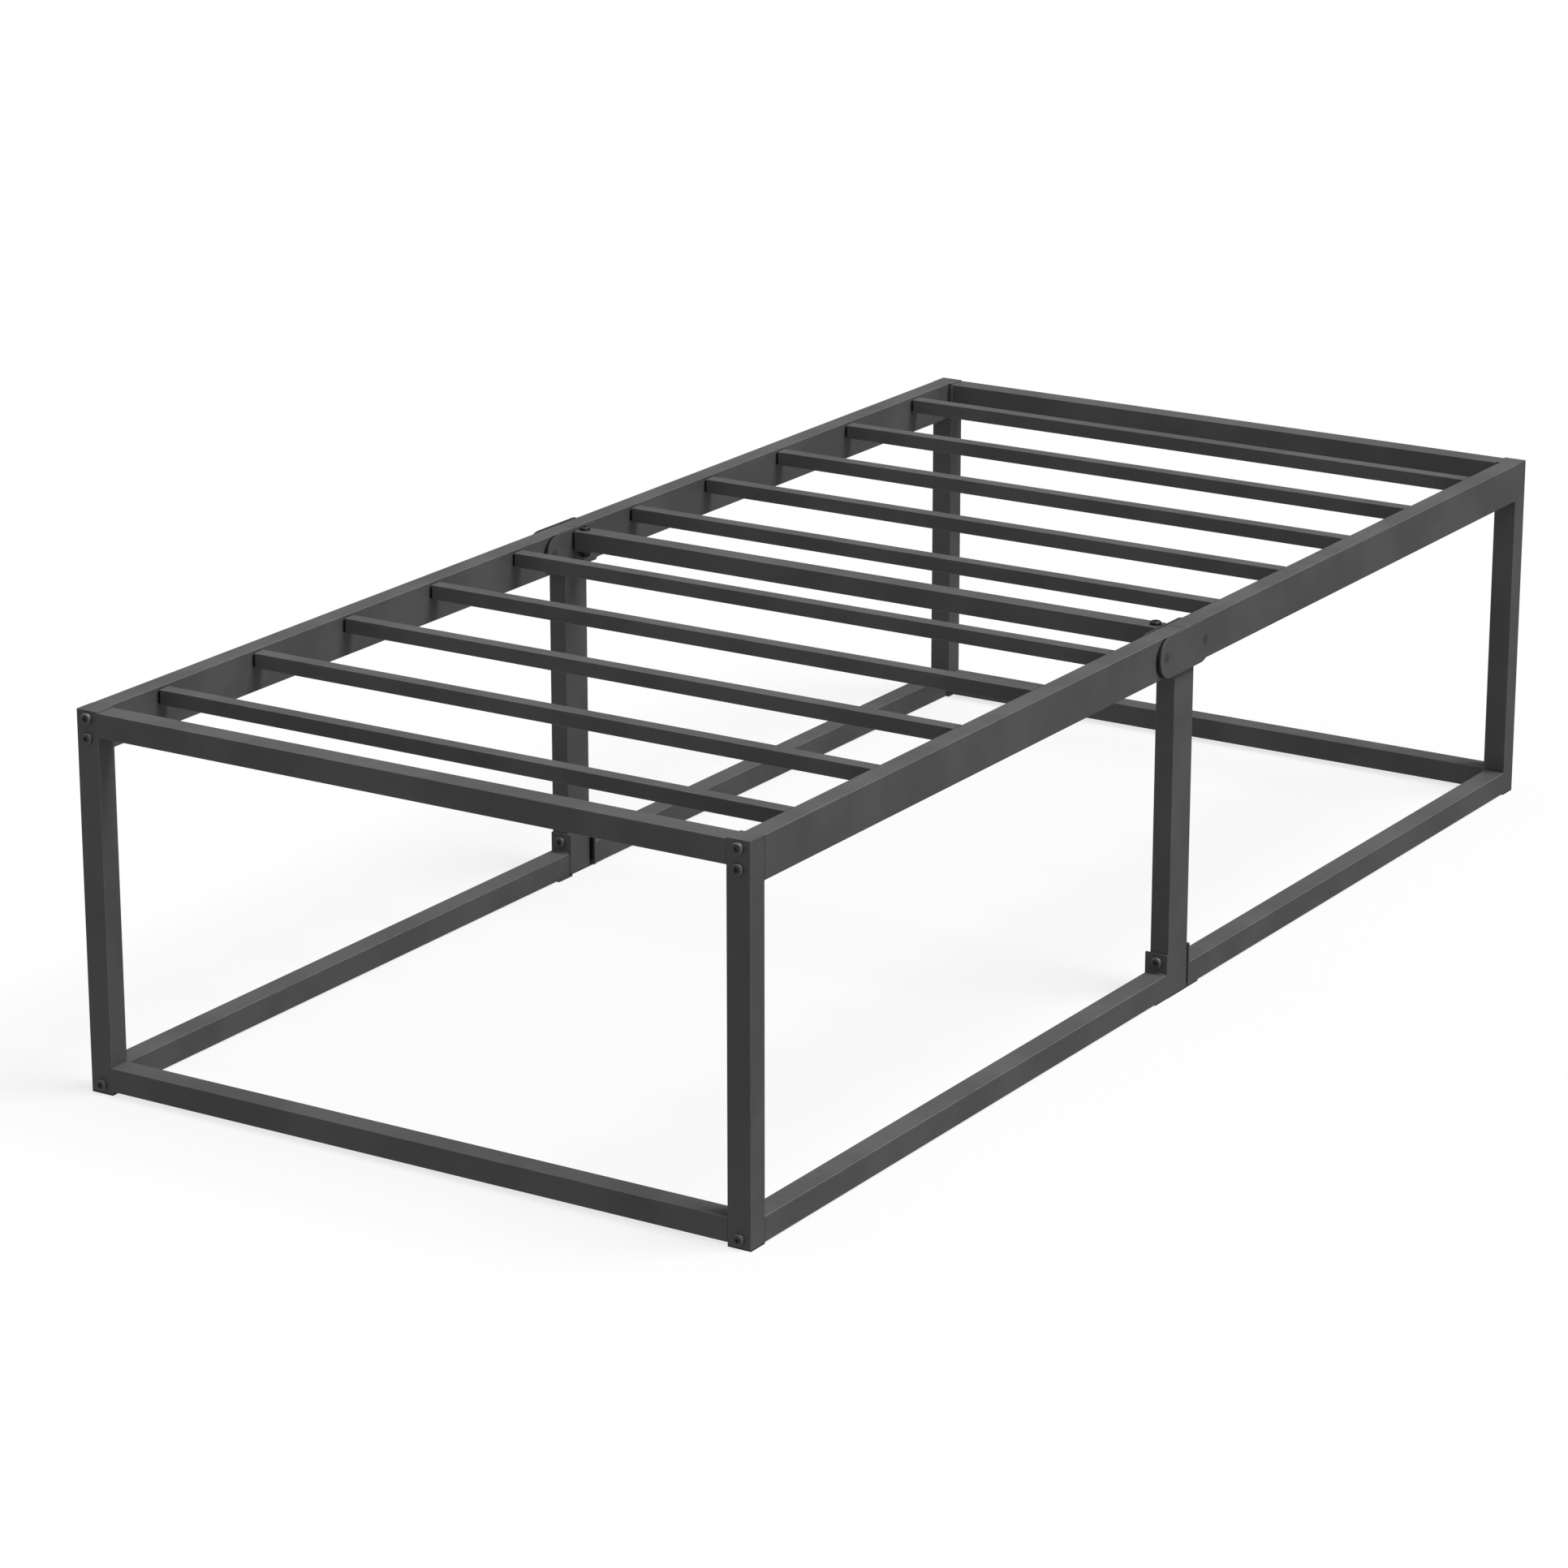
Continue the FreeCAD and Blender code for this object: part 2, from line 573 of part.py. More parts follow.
def main():
    """Build every node."""
    os.makedirs("parts", exist_ok=True)
    sides = {"left": -1, "right": 1}
    ends = {"near": -1, "far": 1}
    for end_name, end in ends.items():
        for side_name, side in sides.items():
            save(f"{end_name}_{side_name}_post", corner_post(side, end))
            save(f"{end_name}_{side_name}_side_rail", side_rail(side, end))
            save(f"{end_name}_{side_name}_lower_rail", lower_rail(side, end))
        save(f"{end_name}_top_end_rail", end_rail(end, END_TOP))
        save(f"{end_name}_bottom_end_rail", end_rail(end, END_BOTTOM + END_RAIL_Z))
        places = slat_positions(end)
        for index, y_slat in enumerate(places):
            save(f"{end_name}_slat_{index + 1}", slat(y_slat))
        save(f"{end_name}_slat_caps", [slat_cap(side, y_slat) for y_slat in places for side in (-1, 1)])
        save(f"{end_name}_post_lids", post_plugs(end, True))
        save(f"{end_name}_post_glides", post_plugs(end, False))
        save(f"{end_name}_side_rail_bolts", rail_bolts(end, bolt_heights()))
        save(f"{end_name}_lower_rail_bolts", rail_bolts(end, [FOOT_T + LOWER_BOLT_RISE]))
        save(f"{end_name}_nut_plates", nut_plates(end))
        save(f"{end_name}_lower_end_plates", both(lower_end_plate, end))
    for side_name, side in sides.items():
        save(f"{side_name}_middle_post", mid_post(side))
    save("middle_post_saddles", both(saddle))
    save("middle_post_glides", both(mid_foot))
    save("middle_post_ledges", both(rest_tab))
    bolt_length = END_PLATE_T + MID_POST_WALL + 8.0
    start = MID_NEAR_Y - END_PLATE_T
    bolts = [button_bolt(side * mid_bolt_x(), start, mid_bolt_z(), V(0, 1, 0), bolt_length) for side in (-1, 1)]
    save("middle_post_bolts", bolts)
    save("middle_crossbar", crossbar())
    save("crossbar_caps", both(bar_cap))
    save("crossbar_brackets", both(bar_bracket))
    save("crossbar_bolts", both(bar_bolt))
    save("crossbar_nuts", both(bar_nut))
    save("outer_hinge_plates", both(hinge_plate, False))
    save("inner_hinge_plates", both(hinge_plate, True))
    save("far_end_pads", both(end_pad))
    save("hinge_liners", both(hinge_liner, False) + both(hinge_liner, True))
    save("far_rest_plates", both(rest_plate))
    save("hinge_pivots", both(rivet, PIVOT_Y))
    save("pivot_sleeves", both(spacer, PIVOT_Y))
    save("fixing_rivets", both(rivet, RIVET_Y))
    save("fixing_sleeves", both(spacer, RIVET_Y))


main()
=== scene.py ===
"""Folding metal bed frame: finishes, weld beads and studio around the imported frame."""

import json
import logging
import math
from abc import ABC, abstractmethod
from collections.abc import Sequence
from dataclasses import dataclass, field
from enum import Enum
from typing import NamedTuple

import bmesh
import bpy
from mathutils import Matrix, Vector

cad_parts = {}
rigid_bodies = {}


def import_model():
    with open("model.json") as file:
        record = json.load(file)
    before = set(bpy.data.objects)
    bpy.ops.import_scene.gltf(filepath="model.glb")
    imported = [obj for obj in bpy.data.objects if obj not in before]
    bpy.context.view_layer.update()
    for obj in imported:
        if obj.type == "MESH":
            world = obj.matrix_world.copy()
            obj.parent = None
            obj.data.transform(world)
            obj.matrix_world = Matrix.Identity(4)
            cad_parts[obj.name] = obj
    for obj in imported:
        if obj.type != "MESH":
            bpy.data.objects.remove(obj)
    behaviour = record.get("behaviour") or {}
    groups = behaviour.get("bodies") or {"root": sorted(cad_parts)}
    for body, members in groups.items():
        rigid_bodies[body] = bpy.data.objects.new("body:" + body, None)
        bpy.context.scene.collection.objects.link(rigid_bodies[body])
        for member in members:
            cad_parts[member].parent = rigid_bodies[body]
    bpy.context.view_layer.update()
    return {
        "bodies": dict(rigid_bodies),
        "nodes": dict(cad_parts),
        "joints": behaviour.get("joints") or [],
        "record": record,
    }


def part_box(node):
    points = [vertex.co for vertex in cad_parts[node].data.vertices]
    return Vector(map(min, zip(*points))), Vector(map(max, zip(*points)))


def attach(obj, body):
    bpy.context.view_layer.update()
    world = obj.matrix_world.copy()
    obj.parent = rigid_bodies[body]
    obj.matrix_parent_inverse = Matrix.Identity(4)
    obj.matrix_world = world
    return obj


LOG = logging.getLogger("bed_frame")
SIDES = ("left", "right")
LEVELS = ("top", "bottom")
MIX_FIRST = 6
MIX_SECOND = 7
MIX_RESULT = 2
NOISE_MIDDLE = (0.3, 0.7)
Colour = tuple[float, float, float]
Seam = tuple[Vector, Vector]


class Slot(Enum):
    """Material slots of the record."""

    FRAME_PAINT = "frame_paint"
    RIVET_PAINT = "rivet_paint"
    BOLT_PAINT = "bolt_paint"
    BLACK_BOLTS = "black_bolts"
    ZINC_STEEL = "zinc_steel"
    BLACK_PLASTIC = "black_plastic"


class Band(NamedTuple):
    """Range of a value, and the range that it is mapped to."""

    low: float
    high: float
    to_low: float = 0.0
    to_high: float = 1.0


class Noise(NamedTuple):
    """Noise texture: cells per metre, octaves and weight of the fine octaves."""

    scale: float
    detail: float = 2.0
    roughness: float = 0.5


class Relief(NamedTuple):
    """Strength of a bump layer and its depth in metres."""

    strength: float
    depth: float


def tint(colour: Colour, factor: float) -> Colour:
    """Make a colour darker or lighter.

    Args:
        colour: The colour to start from.
        factor: Below 1 for darker, above 1 for lighter.

    Returns:
        The new colour.
    """
    return tuple(factor * part for part in colour)


def around(level: float, less: float, more: float) -> Band:
    """Spread a value about a level over the middle of a noise.

    Args:
        level: The value to spread.
        less: How far it goes below the level.
        more: How far it goes above the level.

    Returns:
        The band.
    """
    return Band(*NOISE_MIDDLE, level - less, level + more)


class NodeBench:
    """Small helper that adds and joins shader nodes of one material."""

    def __init__(self, name: str) -> None:
        """Start an empty material with an output and a Principled shader.

        Args:
            name: The material's name.
        """
        self.material = bpy.data.materials.new(name)
        self.material.use_nodes = True
        self.tree = self.material.node_tree
        self.tree.nodes.clear()
        self.output = self.add("ShaderNodeOutputMaterial")
        self.shader = self.add("ShaderNodeBsdfPrincipled")
        self.join(self.shader, "BSDF", self.output, "Surface")
        self.place = self.add("ShaderNodeTexCoord")

    def add(self, kind: str, **values: object) -> bpy.types.Node:
        """Add a node and set its properties.

        Args:
            kind: Blender's name for the node type.
            values: Properties to set on the node.

        Returns:
            The new node.
        """
        node = self.tree.nodes.new(kind)
        for key, value in values.items():
            setattr(node, key, value)
        return node

    def join(self, source: bpy.types.Node, out: str | int,
             target: bpy.types.Node, into: str | int) -> None:
        """Link one node's output to another node's input.

        Args:
            source: Node the link leaves.
            out: Name or index of its output.
            target: Node the link enters.
            into: Name or index of its input.
        """
        self.tree.links.new(source.outputs[out], target.inputs[into])

    def set(self, **values: object) -> None:
        """Set the shader's inputs.

        Args:
            values: Value of each input, with _ for a space in the input's name.
        """
        for key, value in values.items():
            self.shader.inputs[key.replace("_", " ")].default_value = value

    def noise(self, look: Noise) -> bpy.types.Node:
        """Add a noise texture on the piece's own coordinates.

        Args:
            look: The noise to add.

        Returns:
            The noise node.
        """
        node = self.add("ShaderNodeTexNoise")
        node.inputs["Scale"].default_value = look.scale
        node.inputs["Detail"].default_value = look.detail
        node.inputs["Roughness"].default_value = look.roughness
        self.join(self.place, "Object", node, "Vector")
        return node

    def span(self, source: bpy.types.Node, out: str | int, band: Band) -> bpy.types.Node:
        """Map a value from one range to another, smoothly and clamped.

        Args:
            source: Node that gives the value.
            out: Its output.
            band: The two ranges.

        Returns:
            The Map Range node.
        """
        node = self.add("ShaderNodeMapRange", interpolation_type="SMOOTHSTEP")
        self.join(source, out, node, "Value")
        for key, value in zip(("From Min", "From Max", "To Min", "To Max"), band):
            node.inputs[key].default_value = value
        return node

    def math(self, operation: str, first: bpy.types.Node,
             second: bpy.types.Node | float) -> bpy.types.Node:
        """Combine two values.

        Args:
            operation: Name of the Math node's operation.
            first: Node that gives the first value.
            second: Node or number that gives the second value.

        Returns:
            The Math node.
        """
        node = self.add("ShaderNodeMath", operation=operation)
        self.join(first, 0, node, 0)
        if isinstance(second, float):
            node.inputs[1].default_value = second
        else:
            self.join(second, 0, node, 1)
        return node

    def mix(self, factor: bpy.types.Node, first: bpy.types.Node | Colour,
            second: Colour) -> bpy.types.Node:
        """Mix a colour, or the colour of another Mix node, with a colour.

        Args:
            factor: Node that gives the share of the second colour.
            first: Colour or Mix node shown at factor 0.
            second: Colour shown at factor 1.

        Returns:
            The Mix node.
        """
        node = self.add("ShaderNodeMix", data_type="RGBA")
        self.join(factor, 0, node, 0)
        if isinstance(first, tuple):
            node.inputs[MIX_FIRST].default_value = (*first, 1.0)
        else:
            self.join(first, MIX_RESULT, node, MIX_FIRST)
        node.inputs[MIX_SECOND].default_value = (*second, 1.0)
        return node

    def edge_mask(self, start: float, full: float) -> bpy.types.Node:
        """Mask of the rounded edges, where the surface faces none of the piece's own axes.

        Args:
            start: Tilt at which the mask begins.
            full: Tilt at which the mask is full.

        Returns:
            Node that gives 0 on flat faces and 1 on rounded edges.
        """
        parts = self.add("ShaderNodeSeparateXYZ")
        self.join(self.place, "Normal", parts, 0)
        sides = []
        for index in range(3):
            node = self.add("ShaderNodeMath", operation="ABSOLUTE")
            self.join(parts, index, node, 0)
            sides.append(node)
        widest = self.math("MAXIMUM", self.math("MAXIMUM", sides[0], sides[1]), sides[2])
        return self.span(widest, 0, Band(1.0 - start, 1.0 - full))

    def wear_and_highlight_share(self, edge: tuple[float, float], rub: bpy.types.Node, band: Band) -> bpy.types.Node:
        """Find how much of each spot of a rounded edge takes the lighter edge colour: partly
        abrasion and, on the powder coats, partly a painted highlight.

        Args:
            edge: Tilts at which the edge mask begins and is full.
            rub: Noise that breaks the lighter edge colour up.
            band: How the noise becomes wear.

        Returns:
            Node that gives the share of the lighter edge colour.
        """
        return self.math("MULTIPLY", self.edge_mask(*edge), self.span(rub, "Fac", band))

    def bump(self, *layers: tuple[bpy.types.Node, Relief]) -> None:
        """Stack bump layers into the shader's normal.

        Args:
            layers: Height node and relief of each layer.
        """
        last = None
        for height, relief in layers:
            node = self.add("ShaderNodeBump")
            node.inputs["Strength"].default_value = relief.strength
            node.inputs["Distance"].default_value = relief.depth
            self.join(height, 0, node, "Height")
            if last is not None:
                self.join(last, "Normal", node, "Normal")
            last = node
        self.join(last, "Normal", self.shader, "Normal")


@dataclass(frozen=True)
class PowderCoat:
    """Matt powder coat: fine pebble grain, faint mottling, speckle, and lighter rounded edges that
    are partly abraded paint and partly a painted highlight.
    """

    name: str
    base: Colour
    speck: Colour
    edge_wear_and_highlight: Colour
    roughness: float = 0.62
    specular: float = 0.32
    rough_less: float = 0.06
    rough_more: float = 0.07
    worn_smoother: float = 0.14
    darker: float = 0.86
    lighter: float = 1.1
    pit_dark: float = 0.7
    mottle: Noise = Noise(9.0, 3.0)
    mottle_band: Band = Band(0.36, 0.64)
    grain: Noise = Noise(1500.0, 2.0, 0.55)
    grain_band: Band = Band(0.55, 0.78, 0.0, 0.65)
    grain_relief: Relief = Relief(0.34, 0.00012)
    pits: Noise = Noise(825.0, 1.0)
    pit_band: Band = Band(0.62, 0.8, 0.0, 0.55)
    rub: Noise = Noise(46.0, 4.0, 0.65)
    rub_band: Band = Band(0.3, 0.62, 0.22, 0.85)
    edge: tuple[float, float] = (0.03, 0.22)
    peel: Noise = Noise(240.0, 2.0)
    peel_relief: Relief = Relief(0.18, 0.0004)

    def build(self) -> bpy.types.Material:
        """Make the material.

        Returns:
            The new material.
        """
        bench = NodeBench(self.name)
        mottle, grain, pits, rub, peel = (
            bench.noise(look) for look in (self.mottle, self.grain, self.pits, self.rub, self.peel))
        cloud = bench.mix(bench.span(mottle, "Fac", self.mottle_band),
                          tint(self.base, self.darker), tint(self.base, self.lighter))
        speck = bench.mix(bench.span(grain, "Fac", self.grain_band), cloud, self.speck)
        pitted = bench.mix(bench.span(pits, "Fac", self.pit_band), speck,
                           tint(self.base, self.pit_dark))
        # Lighter colour on the rounded edges: partly abraded paint, partly a painted highlight
        # along the edges.
        share = bench.wear_and_highlight_share(self.edge, rub, self.rub_band)
        worn_and_highlighted = bench.mix(share, pitted, self.edge_wear_and_highlight)
        bench.join(worn_and_highlighted, MIX_RESULT, bench.shader, "Base Color")
        rough = bench.span(mottle, "Fac", around(self.roughness, self.rough_less, self.rough_more))
        rubbed_off = bench.math("MULTIPLY", share, self.worn_smoother)
        bench.join(bench.math("SUBTRACT", rough, rubbed_off), 0, bench.shader, "Roughness")
        bench.set(Specular_IOR_Level=self.specular)
        bench.bump((peel, self.peel_relief), (grain, self.grain_relief))
        return bench.material


@dataclass(frozen=True)
class BlackOxide:
    """Black bolts: satin oxide film with lighter abraded rims and a faint turned grain."""

    name: str
    base: Colour
    edge_wear_and_highlight: Colour
    roughness: float = 0.38
    rough_less: float = 0.06
    rough_more: float = 0.12
    metallic: float = 0.35
    lighter: float = 1.9
    stain: Noise = Noise(320.0, 4.0, 0.6)
    stain_band: Band = Band(0.35, 0.68)
    rub: Noise = Noise(620.0, 3.0, 0.6)
    rub_band: Band = Band(0.35, 0.7, 0.0, 0.5)
    rub_relief: Relief = Relief(0.2, 0.0001)
    edge: tuple[float, float] = (0.06, 0.3)

    def build(self) -> bpy.types.Material:
        """Make the material.

        Returns:
            The new material.
        """
        bench = NodeBench(self.name)
        stain = bench.noise(self.stain)
        film = bench.mix(bench.span(stain, "Fac", self.stain_band),
                         self.base, tint(self.base, self.lighter))
        rub = bench.noise(self.rub)
        worn_and_highlighted = bench.mix(bench.wear_and_highlight_share(self.edge, rub, self.rub_band), film, self.edge_wear_and_highlight)
        bench.join(worn_and_highlighted, MIX_RESULT, bench.shader, "Base Color")
        rough = bench.span(stain, "Fac", around(self.roughness, self.rough_less, self.rough_more))
        bench.join(rough, 0, bench.shader, "Roughness")
        bench.set(Metallic=self.metallic)
        bench.bump((rub, self.rub_relief))
        return bench.material


@dataclass(frozen=True)
class ZincPlate:
    """Zinc plated steel: pale, spangled, slightly cloudy."""

    name: str
    base: Colour
    dull: Colour
    roughness: float = 0.4
    rough_less: float = 0.08
    rough_more: float = 0.14
    metallic: float = 1.0
    cloud: Noise = Noise(180.0, 4.0, 0.6)
    cloud_band: Band = Band(0.35, 0.65)
    spangle: Noise = Noise(1400.0, 2.0)
    spangle_relief: Relief = Relief(0.2, 0.00008)

    def build(self) -> bpy.types.Material:
        """Make the material.

        Returns:
            The new material.
        """
        bench = NodeBench(self.name)
        cloud = bench.noise(self.cloud)
        film = bench.mix(bench.span(cloud, "Fac", self.cloud_band), self.base, self.dull)
        bench.join(film, MIX_RESULT, bench.shader, "Base Color")
        rough = bench.span(cloud, "Fac", around(self.roughness, self.rough_less, self.rough_more))
        bench.join(rough, 0, bench.shader, "Roughness")
        bench.set(Metallic=self.metallic)
        bench.bump((bench.noise(self.spangle), self.spangle_relief))
        return bench.material


@dataclass(frozen=True)
class MouldedPlastic:
    """Black moulded plastic: spark-eroded grain and scuffed edges."""

    name: str
    base: Colour
    scuffed: Colour
    roughness: float = 0.56
    specular: float = 0.25
    rough_less: float = 0.05
    rough_more: float = 0.08
    lighter: float = 1.5
    shade: Noise = Noise(60.0, 3.0)
    shade_band: Band = Band(0.35, 0.65)
    rub: Noise = Noise(260.0, 3.0, 0.6)
    rub_band: Band = Band(0.35, 0.66, 0.05, 0.6)
    edge: tuple[float, float] = (0.04, 0.25)
    grain: Noise = Noise(2200.0, 2.0)
    grain_relief: Relief = Relief(0.3, 0.0001)

    def build(self) -> bpy.types.Material:
        """Make the material.

        Returns:
            The new material.
        """
        bench = NodeBench(self.name)
        shade = bench.noise(self.shade)
        body = bench.mix(bench.span(shade, "Fac", self.shade_band),
                         self.base, tint(self.base, self.lighter))
        rub = bench.noise(self.rub)
        worn_and_highlighted = bench.mix(bench.wear_and_highlight_share(self.edge, rub, self.rub_band), body, self.scuffed)
        bench.join(worn_and_highlighted, MIX_RESULT, bench.shader, "Base Color")
        rough = bench.span(shade, "Fac", around(self.roughness, self.rough_less, self.rough_more))
        bench.join(rough, 0, bench.shader, "Roughness")
        bench.set(Specular_IOR_Level=self.specular)
        bench.bump((bench.noise(self.grain), self.grain_relief))
        return bench.material


Finish = PowderCoat | BlackOxide | ZincPlate | MouldedPlastic

FINISHES: dict[Slot, Finish] = {
    # The powder coats' edge colours are partly abraded paint and partly a painted highlight on the
    # rounded edges.
    Slot.FRAME_PAINT: PowderCoat("frame_powder_coat", base=(0.099, 0.099, 0.101),
                                 speck=(0.178, 0.178, 0.181), edge_wear_and_highlight=(0.21, 0.21, 0.213)),
    Slot.RIVET_PAINT: PowderCoat("rivet_powder_coat", base=(0.062, 0.062, 0.064),
                                 speck=(0.11, 0.11, 0.112), edge_wear_and_highlight=(0.13, 0.13, 0.132)),
    # Bolt paint: its base is darker than the frame's as painted shade for the dark hex sockets and
    # the dark outline under each head, and its brighter edge colour is a painted highlight on the
    # head rims.
    Slot.BOLT_PAINT: PowderCoat("bolt_powder_coat", base=(0.06, 0.06, 0.062),
                                speck=(0.1, 0.1, 0.102), edge_wear_and_highlight=(0.2, 0.2, 0.203),
                                roughness=0.45, specular=0.45),
    Slot.BLACK_BOLTS: BlackOxide("black_oxide_bolts", base=(0.012, 0.012, 0.013),
                                 edge_wear_and_highlight=(0.16, 0.16, 0.165)),
    Slot.ZINC_STEEL: ZincPlate("zinc_plate", base=(0.56, 0.56, 0.57), dull=(0.38, 0.39, 0.4)),
    Slot.BLACK_PLASTIC: MouldedPlastic("moulded_black_plastic", base=(0.006, 0.006, 0.0065),
                                       scuffed=(0.03, 0.03, 0.031)),
}


def smooth_object(name: str, form: bmesh.types.BMesh) -> bpy.types.Object:
    """Turn a finished form into a smooth-shaded object of the scene.

    Args:
        name: Name of the object and its mesh.
        form: The form, which is freed.

    Returns:
        The object, with its place in its mesh.
    """
    bmesh.ops.recalc_face_normals(form, faces=form.faces)
    mesh = bpy.data.meshes.new(name)
    form.to_mesh(mesh)
    form.free()
    for face in mesh.polygons:
        face.use_smooth = True
    thing = bpy.data.objects.new(name, mesh)
    bpy.context.scene.collection.objects.link(thing)
    return thing


class Paintshop:
    """Makes each finish once and puts it on CAD nodes and new pieces."""

    def __init__(self, frame: dict) -> None:
        """Keep the frame and read which slot each node takes.
        """
        self.frame = frame
        self.slots = {part["node"]: Slot(part["material_slot"])
                      for part in frame["record"]["subparts"]}
        self.made: dict[Slot, bpy.types.Material] = {}

    def finish(self, slot: Slot) -> bpy.types.Material:
        """Give the material of a slot, and make it the first time.

        Args:
            slot: The slot.

        Returns:
            Its material.
        """
        if slot not in self.made:
            self.made[slot] = FINISHES[slot].build()
        return self.made[slot]

    def dress_nodes(self, names: list[str]) -> None:
        """Put the right finish on CAD nodes.

        Args:
            names: Nodes to dress.
        """
        for name in names:
            mesh = self.frame["nodes"][name].data
            mesh.materials.clear()
            mesh.materials.append(self.finish(self.slots[name]))
        LOG.info("dressed %d nodes: %s", len(names), ", ".join(names))

    def dress_piece(self, piece: bpy.types.Object, slot: Slot, body: str) -> None:
        """Put the finish of a slot on a new piece and let it ride on a body.

        Args:
            piece: The new piece.
            slot: The slot it belongs to.
            body: The CAD body it moves with.
        """
        piece.data.materials.append(self.finish(slot))
        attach(piece, body)
        LOG.info("built %s on %s, %d faces", piece.name, body, len(piece.data.polygons))


@dataclass
class WeldRun:
    """Row of weld beads that follow straight seams, drawn as one piece."""

    name: str
    radius: float = 0.0017
    ripple: float = 0.0016
    swell: float = 0.13
    sides: int = 10
    cuts_per_ripple: float = 4.0
    fewest_cuts: int = 6
    blunt: float = 0.08
    flat: float = 1e-6
    seams: list[Seam] = field(default_factory=list)

    def add(self, start: tuple[float, float, float], end: tuple[float, float, float]) -> None:
        """Add a seam.

        Args:
            start: Where the seam starts.
            end: Where it ends.
        """
        self.seams.append((Vector(start), Vector(end)))

    def bead(self, whole: bmesh.types.BMesh, start: Vector, end: Vector) -> None:
        """Lay one rippled bead with round ends along a seam.

        Args:
            whole: Form that takes the bead.
            start: Where the seam starts.
            end: Where it ends.
        """
        run = end - start
        form = bmesh.new()
        bmesh.ops.create_cone(form, cap_ends=True, segments=self.sides, radius1=self.radius,
                              radius2=self.radius, depth=run.length)
        long_edges = [edge for edge in form.edges
                      if abs(edge.verts[0].co.z - edge.verts[1].co.z) > self.flat]
        cuts = max(self.fewest_cuts, int(self.cuts_per_ripple * run.length / self.ripple))
        bmesh.ops.subdivide_edges(form, edges=long_edges, cuts=cuts, use_grid_fill=True)
        half = run.length / 2
        for vert in form.verts:
            along = vert.co.z + half
            wave = 1.0 + self.swell * math.sin(2.0 * math.pi * along / self.ripple)
            to_end = min(along, run.length - along) / self.radius
            taper = math.sqrt(max(self.blunt, 1.0 - max(0.0, 1.0 - to_end) ** 2))
            vert.co.x *= wave * taper
            vert.co.y *= wave * taper
        turn = Vector((0, 0, 1)).rotation_difference(run.normalized()).to_matrix().to_4x4()
        bmesh.ops.transform(form, matrix=Matrix.Translation((start + end) / 2) @ turn,
                            verts=form.verts)
        laid = bpy.data.meshes.new("bead")
        form.to_mesh(laid)
        form.free()
        whole.from_mesh(laid)
        bpy.data.meshes.remove(laid)

    def build(self) -> bpy.types.Object:
        """Make the piece.

        Returns:
            The piece.
        """
        form = bmesh.new()
        for start, end in self.seams:
            self.bead(form, start, end)
        return smooth_object(self.name, form)


@dataclass
class SubAssembly(ABC):
    """Group of CAD nodes that belong together."""

    shop: Paintshop

    @abstractmethod
    def nodes(self) -> list[str]:
        """List the CAD nodes of the group.

        Returns:
            Their names.
        """

    def build(self) -> None:
        """Dress the nodes."""
        self.shop.dress_nodes(self.nodes())


@dataclass
class WeldedAssembly(SubAssembly):
    """Group of CAD nodes with weld beads that move with one body."""

    body: str

    @abstractmethod
    def welds(self) -> WeldRun:
        """Lay out the beads of the group.

        Returns:
            The run of beads.
        """

    def build(self) -> None:
        """Dress the nodes and add the welds."""
        super().build()
        self.shop.dress_piece(self.welds().build(), Slot.FRAME_PAINT, self.body)


@dataclass
class EndFrame(WeldedAssembly):
    """Corner posts and cross rails of one end, welded to each other."""

    end: str
    upright_inset: float = 0.002
    inner_inset: float = 0.003
    outer_inset: float = 0.006

    def nodes(self) -> list[str]:
        """List the CAD nodes of this end.

        Returns:
            Their names.
        """
        small = ("post_lids", "post_glides", "side_rail_bolts", "lower_rail_bolts", "nut_plates")
        names = [f"{self.end}_{side}_post" for side in SIDES]
        names += [f"{self.end}_{level}_end_rail" for level in LEVELS]
        return names + [f"{self.end}_{part}" for part in small]

    def welds(self) -> WeldRun:
        """Lay the beads where the cross rails meet the posts, inside and underneath.

        Returns:
            The run of beads.
        """
        run = WeldRun(f"{self.end}_end_frame_welds")
        for level in LEVELS:
            low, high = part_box(f"{self.end}_{level}_end_rail")
            inner, outer = (high.y, low.y) if self.end == "near" else (low.y, high.y)
            inward = math.copysign(1.0, inner - outer)
            for x in (low.x, high.x):
                run.add((x, inner, low.z + self.upright_inset),
                        (x, inner, high.z - self.upright_inset))
                run.add((x, outer + inward * self.outer_inset, low.z),
                        (x, inner - inward * self.inner_inset, low.z))
        return run


@dataclass
class Deck(WeldedAssembly):
    """Side rails, lower rails and slats of one half."""

    end: str
    slats: int = 5
    bead_radius: float = 0.0013
    bead_inset: float = 0.003

    def nodes(self) -> list[str]:
        """List the CAD nodes of this half.

        Returns:
            Their names.
        """
        names = [f"{self.end}_{side}_{rail}_rail" for side in SIDES for rail in ("side", "lower")]
        names += [f"{self.end}_slat_{index + 1}" for index in range(self.slats)]
        return names + [f"{self.end}_slat_caps", f"{self.end}_lower_end_plates"]

    def welds(self) -> WeldRun:
        """Lay the beads on top and inside of each lower rail, where it meets its end plate.

        Returns:
            The run of beads.
        """
        run = WeldRun(f"{self.end}_end_plate_welds", radius=self.bead_radius)
        for side in SIDES:
            low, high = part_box(f"{self.end}_{side}_lower_rail")
            y = high.y if self.end == "near" else low.y
            inner = high.x if side == "left" else low.x
            run.add((low.x + self.bead_inset, y, high.z), (high.x - self.bead_inset, y, high.z))
            run.add((inner, y, low.z + self.bead_inset), (inner, y, high.z - self.bead_inset))
        return run


